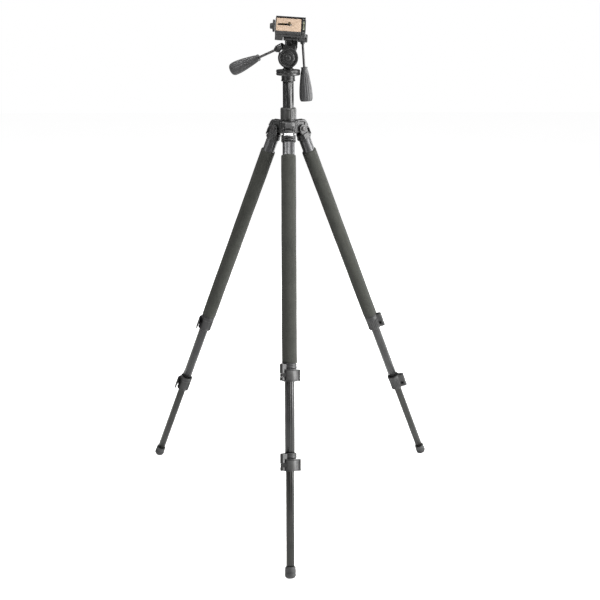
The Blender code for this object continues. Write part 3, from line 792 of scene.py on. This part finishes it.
def build_column():
    grooves = [(270 + turn - 31, 0.0017, 0.0009) for turn in (0, 90, 180, 270)]
    mesh = tube_mesh("column_tube", COLUMN_R, COLUMN_WALL, COLUMN_TOP, COLUMN_LOW, grooves, 180)
    piece("centre_column", mesh, BASE, "column", TUBE, "column")
    profile = rounded([
        (0.0182, 0.9623, 0.0006), (0.0189, 0.9632, 0.0006), (0.0189, 0.9868, 0.003), (0.0172, 0.9894, 0.0016),
        (COLUMN_R + GAP, 0.9894), (COLUMN_R + GAP, 0.979), (0.0163, 0.979), (0.0163, 0.9623)], 5)

    def flutes(angle, radius, height):
        if radius < 0.018:
            return radius
        mask = clamped((height - 0.965) / 0.003) * clamped((0.985 - height) / 0.004)
        return radius - 0.0005 * mask * (0.5 + 0.5 * math.cos(18 * angle)) ** 3
    dense = []
    for (r, z), (r2, z2) in zip(profile, profile[1:] + profile[:1]):
        dense.append((r, z))
        if r > 0.0185 and r2 > 0.0185 and abs(z2 - z) > 0.01:
            dense += [(r, z + (z2 - z) * k / 14) for k in range(1, 14)]
    mesh = turned_mesh("twist_collar", dense, 40, flutes, 180)
    piece("twist_collar", mesh, BASE, "column_collar", COLLAR_RUBBER, "column_collar")
    inside, plug = COLUMN_R - COLUMN_WALL - GAP, COLUMN_LOW - GAP
    cap = rounded([(0, plug - 0.008), (0.01, plug - 0.008, 0.0014), (COLUMN_R, plug - 0.0052, 0.0012),
                   (COLUMN_R, plug, 0.0004), (inside, plug), (inside, plug + 0.012, 0.001),
                   (0, plug + 0.012)], 5)
    piece("column_cap", turned_mesh("column_cap", cap, 38), BASE, "column", PLASTIC, "column_end_cap")
    bore = COLUMN_R + GAP
    flare = [(0.0162, 1.0505), (0.0166, 1.0509), (0.0167, 1.0518), (0.0162, 1.0528), (0.0158, 1.0538),
             (0.01575, 1.056), (0.01535, 1.0564), (0.01535, 1.0572), (0.01575, 1.0576), (0.01575, 1.0628),
             (0.01525, 1.0634), (0, 1.0634), (0, COLUMN_TOP + GAP), (bore, COLUMN_TOP + GAP), (bore, 1.0505)]
    piece("upper_collar", turned_mesh("upper_collar", flare, 35, steps=96), BASE, "column", CASTING,
          "column_top_collar")
    disc = 0.0279
    plate = rounded([(0, 1.0637), (disc - 0.0022, 1.0637, 0.0006), (disc, 1.0652, 0.0006),
                     (disc, 1.0692, 0.0005), (disc - 0.001, 1.07, 0.0002), (0, 1.07)], 4)
    piece("lower_plate", turned_mesh("lower_plate", plate, 35, steps=120), BASE, "column", CASTING,
          "column_plate")

    def knurl(angle, radius, height):
        if radius < disc - 0.0002 or not 1.0712 < height < 1.0752:
            return radius
        return radius - 0.00035 * (0.5 + 0.5 * math.cos(60 * angle))
    base = [(0, 1.0703), (disc - 0.001, 1.0703), (disc - 0.0002, 1.0708), (disc, 1.0713), (disc, 1.072),
            (disc, 1.0746), (disc, 1.0751), (disc - 0.0003, 1.0758), (disc - 0.0015, 1.0766),
            (disc - 0.006, 1.0767), (disc - 0.0066, 1.0763), (disc - 0.0085, 1.0763),
            (disc - 0.009, 1.0767), (0, 1.0767)]
    piece("base_disc", turned_mesh("base_disc", base, 35, knurl, 360), BASE, "column", HEAD_BLACK,
          "head_base")


# ---- head
CHEEK_IN, CHEEK_OUT, DISC_R, DRUM_R = 0.0088, 0.0185, 0.02325, 0.019
SLEEVE_R, SLEEVE_X, SHAFT_R = 0.0118, (-0.0096, 0.0204), 0.006
PAN = Matrix.Translation(Vector(TILT_AT))


def build_pan():
    low = 1.077 - TILT_Z
    neck = swept([(0, low), (0.013, low), (0.0133, low + 0.0005), (0.0133, low + 0.0014),
                  (0.0126, low + 0.002), (0.0118, low + 0.0024), (0.0118, -0.0238), (0, -0.0238)])
    stem = block((-0.0105, 0.0105), (-0.0084, 0.0084), (-0.025, -0.01))
    drum = cylinder(DRUM_R, -0.0084, 0.0084, turn=TO_Y)
    hole = cylinder(0.005, -0.02, 0.02, 48, turn=TO_Y)
    mesh = cast("pan_neck", [neck, stem, drum], [hole], rounds=3)
    piece("pan_neck", mesh, PAN, "pan", HEAD_BLACK, "pan_body")


def build_tilt():
    solids = []
    for sign in (1, -1):            # heights run along local -Y after the turn: the front cheek comes first
        inner, outer = sign * CHEEK_IN, sign * CHEEK_OUT
        sink = outer - sign * 0.0013
        profile = [(0.0, inner), (DISC_R - 0.0004, inner), (DISC_R, inner + sign * 0.0004),
                   (DISC_R, outer - sign * 0.0016), (DISC_R - 0.0016, outer), (0.0196, outer), (0.0187, sink),
                   (0.0146, sink), (0.0138, outer), (0.0, outer)]
        solids.append(swept(profile, steps=96, turn=TO_Y))
    room = circle((0, 0), DRUM_R + 0.0005, 37, 143, 30)
    shoulder = room + [(-0.012, 0.027), (0.015, 0.027)]
    solids.append(raised(shoulder, -0.0175, 0.0175, TO_Y))
    left, right, top = SLEEVE_X[0] + 0.0004, SLEEVE_X[1] - 0.0004, SIDE_UP - 0.0082
    neck = [(-0.0108, 0.0225), (0.0142, 0.0225), (right, 0.0325), (right, top), (left, top), (left, 0.0325)]
    solids.append(raised(neck, -0.008, 0.008, TO_Y))
    gusset = [(0.006, 0.0203), (0.0176, 0.0146), (0.0192, 0.0235), (0.0196, 0.032), (0.006, 0.032)]
    solids.append(raised(gusset, -0.015, 0.015, TO_Y))
    for x in (left, right - 0.0024):
        web = [(x, 0.023), (x + 0.0024, 0.023), (x + 0.0024, top), (x, top)]
        solids.append(raised(web, -0.0104, 0.0104, TO_Y))
    sleeve = swept([(0, SLEEVE_X[0]), (SLEEVE_R - 0.0005, SLEEVE_X[0]), (SLEEVE_R, SLEEVE_X[0] + 0.0006),
                    (SLEEVE_R, SLEEVE_X[1] - 0.0006), (SLEEVE_R - 0.0005, SLEEVE_X[1]), (0, SLEEVE_X[1])],
                   steps=96, turn=Matrix.Translation((0, 0, SIDE_UP)) @ TO_X)
    solids.append(sleeve)
    to_boss = TILT.inverted() @ TILT_HANDLE
    solids.append(swept([(0, -0.0165), (0.0088, -0.0165), (0.0088, -0.0072), (0.0083, -0.0068),
                         (0.0083, -0.006), (0.0088, -0.0056), (0.0088, -0.0036), (0.008, -0.0026),
                         (0, -0.0026)], turn=to_boss))
    cuts = [
        cylinder(0.005, -0.03, 0.03, 48, turn=TO_Y),
        cylinder(SHAFT_R + GAP, -0.03, 0.04, 48, turn=Matrix.Translation((0, 0, SIDE_UP)) @ TO_X),
        block((0.0063, 0.0077), (-0.02, -0.003), (SIDE_UP - 0.0155, SIDE_UP + 0.02)),
        cylinder(0.0033, -0.011, 0.01, 32, turn=to_boss)]
    mesh = cast("tilt_cheeks", solids, cuts, voxel=0.0005, keep=0.35)
    piece("tilt_cheeks", mesh, TILT, "tilt", HEAD_BLACK, "tilt_frame")
    rim = [(DISC_R - 0.0034, CHEEK_OUT - 0.002), (DISC_R + 0.0001, CHEEK_OUT - 0.002),
           (DISC_R + 0.0001, CHEEK_OUT - 0.0014), (DISC_R - 0.0016, CHEEK_OUT + 0.0003),
           (DISC_R - 0.003, CHEEK_OUT + 0.0003), (DISC_R - 0.0034, CHEEK_OUT - 0.0002)]
    piece("cheek_rim", turned_mesh("cheek_rim", rim, 25, steps=120, turn=TO_Y), TILT, "tilt", HEAD_GLOSS)

    front, back = CHEEK_OUT + GAP, -CHEEK_OUT - GAP
    profile = [(0, back - 0.0045), (0.0052, back - 0.0045), (0.0062, back - 0.004), (0.0068, back - 0.0028),
               (0.0068, back), (0.0047, back), (0.0047, front), (0.0122, front), (0.0125, front + 0.0003),
               (0.0125, front + 0.0014), (0.012, front + 0.0021), (0.0108, front + 0.0025),
               (0.01, front + 0.0024), (0.0094, front + 0.0017), (0.007, front + 0.0017),
               (0.0064, front + 0.0024), (0.0056, front + 0.0038), (0.0048, front + 0.0042),
               (0.003, front + 0.0042), (0.0026, front + 0.0032), (0, front + 0.0032)]
    mesh = turned_mesh("tilt_cap", profile, 35, steps=96, turn=TO_Y)
    piece("tilt_cap", mesh, TILT, "tilt", PLASTIC, "tilt_axle")


def build_platform():
    x0, x1, y0, y1, low, high = -0.0328, 0.03, -0.0245, 0.0272, 0.0139, 0.0255
    solids = [raised(boxed((x0, x1), (y0, y1), 0.003, 5), low, high)]
    solids.append(block((x0, -0.0145), (-0.0243, 0.02), (0.0082, 0.015)))
    solids.append(block((x0, 0.0355), (0.0244, 0.0271), (0.02, 0.0378)))
    jaw = rounded([(0.0266, -0.024, 0.001), (0.0362, -0.024, 0.003), (0.0362, 0.0255, 0.003),
                   (0.0266, 0.0255, 0.001)], 5)
    solids.append(raised(jaw, 0.019, 0.0345))
    solids.append(swept([(0, 0.0208), (0.0086, 0.0208), (0.0092, 0.0214), (0.0092, 0.0356), (0.0086, 0.0362),
                         (0, 0.0362)], steps=96, turn=TO_X))
    solids.append(block((0.0212, 0.0358), (-0.0086, 0.0086), (0.0, 0.02)))
    to_socket = SIDE.inverted() @ SIDE_HANDLE
    solids.append(swept([(0, 0.006), (0.0052, 0.006), (0.0052, 0.0126), (0.0046, 0.0132), (0, 0.0132)],
                        steps=48, turn=to_socket))
    cuts = [
        cylinder(SHAFT_R + GAP, 0.01, 0.05, 48, turn=TO_X),
        cylinder(0.0034, 0.007, 0.03, 32, turn=to_socket),
        block((0.0296, 0.0334), (-0.016, 0.016), (0.0316, 0.04))]
    for z in (0.0128, 0.0172, 0.0212):
        cuts.append(block((x0 + 0.0025, 0.025), (y0 - 0.0005, y0 + 0.0004), (z, z + 0.0007)))
    cuts.append(block((-0.014, 0.04), (-0.03, -0.015), (0.01, 0.0188)))
    mesh = cast("platform", solids, cuts, voxel=0.0006, keep=0.35)
    piece("platform_casting", mesh, SIDE, "platform", HEAD_BLACK, "platform_body")

    vial = rounded([(0, -0.0154), (0.0016, -0.0154, 0.001), (0.0016, 0.0154, 0.001), (0, 0.0154)], 5)
    at = shifted(SIDE, 0.0315, 0, 0.0338)
    piece("level_tube", turned_mesh("level_tube", vial, 40, steps=32, turn=TO_Y), at, "platform", GLASS,
          "level_vial")
    for n, y in enumerate((-0.0028, 0.0028)):
        band = [(0.00165, y - 0.0003), (0.00178, y - 0.0003), (0.00178, y + 0.0003), (0.00165, y + 0.0003)]
        piece(f"level_ring_{n}", turned_mesh("level_ring", band, 32, steps=32, turn=TO_Y), at, "platform",
              PLASTIC)
    shaft = [(0, -0.0135), (0.0066, -0.0135), (0.0074, -0.0131), (0.0078, -0.0122),
             (0.0078, SLEEVE_X[0] - GAP), (SHAFT_R, SLEEVE_X[0] - GAP), (SHAFT_R, 0.0365),
             (0.0089, 0.0365), (0.0092, 0.0368), (0.0092, 0.0398),
             (0.0088, 0.0412), (0.0078, 0.0421), (0.006, 0.0424), (0.0052, 0.0419), (0.0036, 0.0419),
             (0.003, 0.041), (0, 0.041)]
    piece("side_axle", turned_mesh("side_axle", shaft, 35, steps=72, turn=TO_X), SIDE, "platform",
          HEAD_GLOSS, "side_shaft")


SCREW_X, PIN_X, SLOT_X, SLOT_R = -0.0014, -0.016, (-0.029, 0.0034), 0.0036
PLATE_X, PLATE_Y = (-0.0334, 0.0262), (-0.0247, 0.024)
CORK_X, CORK_Y = (-0.0312, 0.0254), (-0.0238, 0.0226)
PLATE_Z, CORK_TOP = (0.0258, 0.0331), 0.0354


def slot_outline(radius):
    return (circle((SLOT_X[1] - radius, 0), radius, -90, 90, 14)
            + circle((SLOT_X[0] + radius, 0), radius, 90, 270, 14))


def build_plate():
    plate = raised(boxed(PLATE_X, PLATE_Y, 0.003), PLATE_Z[0], CORK_TOP - 0.0005)
    wider = [(low - 0.0002, high + 0.0002) for low, high in (CORK_X, CORK_Y)]
    recess = raised(boxed(*wider, 0.002), PLATE_Z[1] + 0.0001, 0.05)
    slot = raised(slot_outline(SLOT_R), 0.02, 0.05)
    pocket = block((-0.03, 0.008), (-0.0086, 0.0086), (0.02, 0.0302))
    mesh = bevelled(cut_from(to_mesh("quick_plate", plate), recess, slot, pocket), 0.0004, 2, 40)
    piece("release_plate", mesh, SIDE, "quick_plate", HEAD_BLACK, "qr_plate")

    cork = cut_from(to_mesh("cork", raised(boxed(CORK_X, CORK_Y, 0.0018), PLATE_Z[1] + GAP, CORK_TOP)),
                    raised(slot_outline(SLOT_R), 0.02, 0.05))
    piece("cork_face", bevelled(cork, 0.0004, 3, 50), SIDE, "quick_plate", CORK, "cork_pad")

    stud = 0.0031

    def thread(angle, radius, height):
        if abs(radius - stud) > 0.0003 or height < 0.0312:
            return radius
        return radius - thread_cut(angle, height, 0.00127, 0.00045)
    profile = [(0, 0.0262), (0.0066, 0.0262), (0.0072, 0.0268), (0.0072, 0.0292), (0.0066, 0.0298),
               (stud, 0.0298)]
    profile += [(stud, 0.0312 + 0.00015 * k) for k in range(59)]
    profile += [(0.0028, 0.0404), (0.0022, 0.0409), (0, 0.041)]
    screw = turned_mesh("camera_stud", profile, 50, thread, 48)
    piece("camera_stud", screw, shifted(SIDE, SCREW_X), "camera_screw", BRASS, "camera_screw")
    ring = [(0.0033, 0.0356), (0.005, 0.0356), (0.0053, 0.0359), (0.005, 0.0363), (0.0034, 0.0364)]
    piece("stud_ring", turned_mesh("stud_ring", ring, 32, steps=48), shifted(SIDE, SCREW_X), "camera_screw",
          SCREW_STEEL)
    pin = [(0, 0.0276), (0.004, 0.0276), (0.004, 0.0298), (0.0021, 0.0298), (0.0021, 0.0376), (0.0019, 0.0381),
           (0.0013, 0.0385), (0, 0.0386)]
    piece("index_pin", turned_mesh("index_pin", pin, 40, steps=40), shifted(SIDE, PIN_X), "video_pin", BRASS,
          "video_pin")

    grip = rounded([(0.0016, 0.0, 0.001), (0.0016, 0.0298, 0.001), (-0.0036, 0.0313, 0.0015),
                    (-0.004, 0.0178, 0.001), (-0.006, 0.0172, 0.001), (-0.0096, 0.0168, 0.002),
                    (-0.0096, 0.0086, 0.002), (-0.006, 0.0082, 0.001), (-0.004, 0.0078, 0.001),
                    (-0.0034, 0.001, 0.001)], 5) + circle((-0.0008, 0), 0.0026, 200, 340, 12)
    middle = 0.024
    lower, upper = 0.0235 - middle, 0.0335 - middle
    solids = [raised(grip, lower, upper)]
    for n in range(5):
        y = 0.0097 + n * 0.0015
        solids.append(block((-0.01, -0.007), (y - 0.0003, y + 0.0003), (lower + 0.002, upper - 0.002)))
    mesh = cast("release_lever", solids, voxel=0.0004, rounds=3)
    piece("release_lever", mesh, LEVER, "quick_lever", PLASTIC, "qr_lever")


# ---- handles
GRIP_KEYS = [(0.0072, 0.0045), (0.0091, 0.012), (0.0117, 0.028), (0.0142, 0.046), (0.0153, 0.06),
             (0.0153, 0.068), (0.0147, 0.074), (0.013, 0.078)]


def grip_radius(z):
    """Smooth grip outline through its key radii."""
    keys, last = GRIP_KEYS, len(GRIP_KEYS) - 1
    k = next(k for k in range(last) if z <= keys[k + 1][1])
    (r0, z0), (r1, z1) = keys[k], keys[k + 1]
    before = keys[k - 1] if k else (r0 - (r1 - r0), z0 - (z1 - z0))
    after = keys[k + 2] if k + 2 <= last else (r1 + (r1 - r0), z1 + (z1 - z0))
    m0 = (r1 - before[0]) / (z1 - before[1])
    m1 = (after[0] - r0) / (after[1] - z0)
    h, s = z1 - z0, (z - z0) / (z1 - z0)
    return ((2 * s ** 3 - 3 * s * s + 1) * r0 + (s ** 3 - 2 * s * s + s) * h * m0
            + (3 * s * s - 2 * s ** 3) * r1 + (s ** 3 - s * s) * h * m1)


def grip_mesh(name, rod_r):
    start, stop = 0.0045, 0.0766
    profile = [(rod_r + GAP, 0.0), (0.007, 0.0), (0.0078, 0.0003), (0.008, 0.001), (0.0079, 0.0018),
               (0.0074, 0.0026), (0.0071, 0.0036)]
    count = 60
    profile += [(grip_radius(start + (stop - start) * k / count), start + (stop - start) * k / count)
                for k in range(count + 1)]
    profile += [(0.0132, 0.0773), (0.0124, 0.0778), (0.0114, 0.078), (0.006, 0.078),
                (0.0056, 0.0775), (0, 0.0775), (0, 0.0304), (rod_r + GAP, 0.0304)]

    def ribs(angle, radius, height):
        if radius < 0.0062 or not 0.008 < height < 0.0766:
            return radius
        fade = min(1.0, (height - 0.008) / 0.012) * min(1.0, (0.0766 - height) / 0.006)
        wave = abs(math.sin(7 * angle))
        return radius - 0.0009 * fade * (1 - wave) ** 2
    return turned_mesh(name, profile, 45, ribs, 168)


def rod_mesh(name, radius, sink, length):
    def thread(angle, r, z):
        if r < radius - 0.0002 or z > sink + 0.0095 or z < sink + 0.0006:
            return r
        return r - thread_cut(angle, z, 0.001, 0.0003)
    profile = [(0, sink), (radius - 0.0003, sink), (radius, sink + 0.0004)]
    profile += [(radius, sink + 0.0006 + 0.00015 * k) for k in range(62)]
    profile += [(radius, length), (0, length)]
    return turned_mesh(name, profile, 50, thread, 36)


def build_handles():
    rod_r, grip = 0.0029, grip_mesh("handle_grip", 0.0029)
    piece("tilt_rod", rod_mesh("tilt_rod", rod_r, -0.0105, 0.0827), TILT_HANDLE, "tilt_handle", ROD_BLACK,
          "tilt_handle_rod")
    piece("tilt_grip", grip, shifted(TILT_HANDLE, z=0.0527), "tilt_handle", GRIP_RUBBER, "tilt_handle_grip")

    def hexagon(angle, radius, height):
        return radius if height < 0.0016 or radius < 0.0035 else hexed(angle, radius)
    nut = [(rod_r + GAP, -0.0022), (0.0074, -0.0022), (0.0081, -0.0018), (0.0083, -0.001), (0.0083, 0.0006),
           (0.0079, 0.0012), (0.0072, 0.0015), (0.0062, 0.0017), (0.0062, 0.0052), (0.0056, 0.006),
           (rod_r + GAP, 0.006)]
    piece("tilt_nut", turned_mesh("tilt_nut", nut, 35, hexagon, 96), TILT_HANDLE, "tilt_handle", HEAD_BLACK,
          "tilt_handle_nut")
    piece("side_rod", rod_mesh("side_rod", rod_r, 0.0075, 0.095), SIDE_HANDLE, "side_handle", ROD_BLACK,
          "side_handle_rod")
    piece("side_grip", grip, shifted(SIDE_HANDLE, z=0.065), "side_handle", GRIP_RUBBER, "side_handle_grip")


# ---- stage
FLOOR_GLOW, ROOM_LIGHT = (0.12, 0.82), 0.17     # floor: what it lends the object, and what the camera sees
SENSOR, FOCAL_LENGTH, CAMERA_SHIFT = 36.0, 60.42, -0.0127
CAMERA_X, CAMERA_BACK, CAMERA_HEIGHT = 0.0055, 2.3949, 1.242   # back from the pan axis, height as TILT_Z
CAMERA_PITCH, CAMERA_YAW = 16.84, -0.951                        # degrees below level, and to the left
LIGHTS = {                          # place, target, size in metres, power in watts
    "key_right": ((2.15, -0.85, 1.15), (0, 0.05, 0.75), (1.3, 2.2), 130),
    "rim_right": ((1.9, 1.5, 1.15), (0, 0.05, 0.75), (0.7, 2.0), 40),
    "strip_left": ((-1.6, -1.15, 1.05), (0, 0, 0.75), (0.16, 2.0), 11),
    "top_front": ((0.75, -1.15, 2.35), (0, 0, 1.0), (1.3, 0.5), 22),
    "overhead": ((0.12, -0.3, 2.55), (0, 0, 1.1), (0.8, 0.35), 18),
    "top_left": ((-1.17, 0.00, 2.2), (0, 0.09, 1.1), (0.4, 0.4), 16),
}


def area_light(name, place, target, size, power):
    data = bpy.data.lights.new(name, "AREA")
    data.shape, data.size, data.size_y = "RECTANGLE", *size
    data.energy = power
    light = in_scene(name, data)
    light.location = place
    light.rotation_euler = (Vector(target) - Vector(place)).to_track_quat("-Z", "Y").to_euler()


def build_stage():
    floor = in_scene("floor", to_mesh("floor", block((-9, 9), (-9, 9), (-0.0012, -0.0002))))
    look = Nodes("floor_white", (0.9, 0.9, 0.9), 0.8)
    look.base(look.mixed(look.spread(look.noise(2.0, 2), 0.0, 1.0), (0.89, 0.89, 0.89), (0.91, 0.91, 0.91)))
    glow = look.node("Mix", Factor=look.node("LightPath").outputs["Is Camera Ray"])
    glow.inputs["A"].default_value, glow.inputs["B"].default_value = FLOOR_GLOW
    look.shader.inputs["Emission Color"].default_value = (1, 1, 1, 1)
    look.link(glow.outputs["Result"], look.shader.inputs["Emission Strength"])
    floor.data.materials.append(look.material)
    world = bpy.data.worlds.new("studio")
    bpy.context.scene.world = world
    world.use_nodes = True
    tree = world.node_tree
    seen = tree.nodes["Background"]
    seen.inputs["Color"].default_value = (1, 1, 1, 1)
    lit = tree.nodes.new("ShaderNodeBackground")
    lit.inputs["Color"].default_value = (1, 1, 1, 1)
    lit.inputs["Strength"].default_value = ROOM_LIGHT
    rays, mix = tree.nodes.new("ShaderNodeLightPath"), tree.nodes.new("ShaderNodeMixShader")
    for source, target in ((rays.outputs["Is Camera Ray"], mix.inputs["Fac"]),
                           (lit.outputs["Background"], mix.inputs[1]),
                           (seen.outputs["Background"], mix.inputs[2]),
                           (mix.outputs["Shader"], tree.nodes["World Output"].inputs["Surface"])):
        tree.links.new(source, target)
    for name, light in LIGHTS.items():
        area_light(name, *light)


def build_camera():
    data = bpy.data.cameras.new("camera")
    data.sensor_width, data.lens, data.shift_x = SENSOR, FOCAL_LENGTH, CAMERA_SHIFT
    data.clip_start, data.clip_end = 0.05, 60
    camera = in_scene("camera", data)
    camera.location = (CAMERA_X, PAN_Y - CAMERA_BACK, LIFT + CAMERA_HEIGHT)
    camera.rotation_euler = (math.radians(90 - CAMERA_PITCH), 0, math.radians(CAMERA_YAW))
    bpy.context.scene.camera = camera


build_camera()
build_legs()
build_shoulder()
build_column()
build_pan()
build_tilt()
build_platform()
build_plate()
build_handles()
build_stage()
bpy.context.scene.view_settings.view_transform = "Standard"
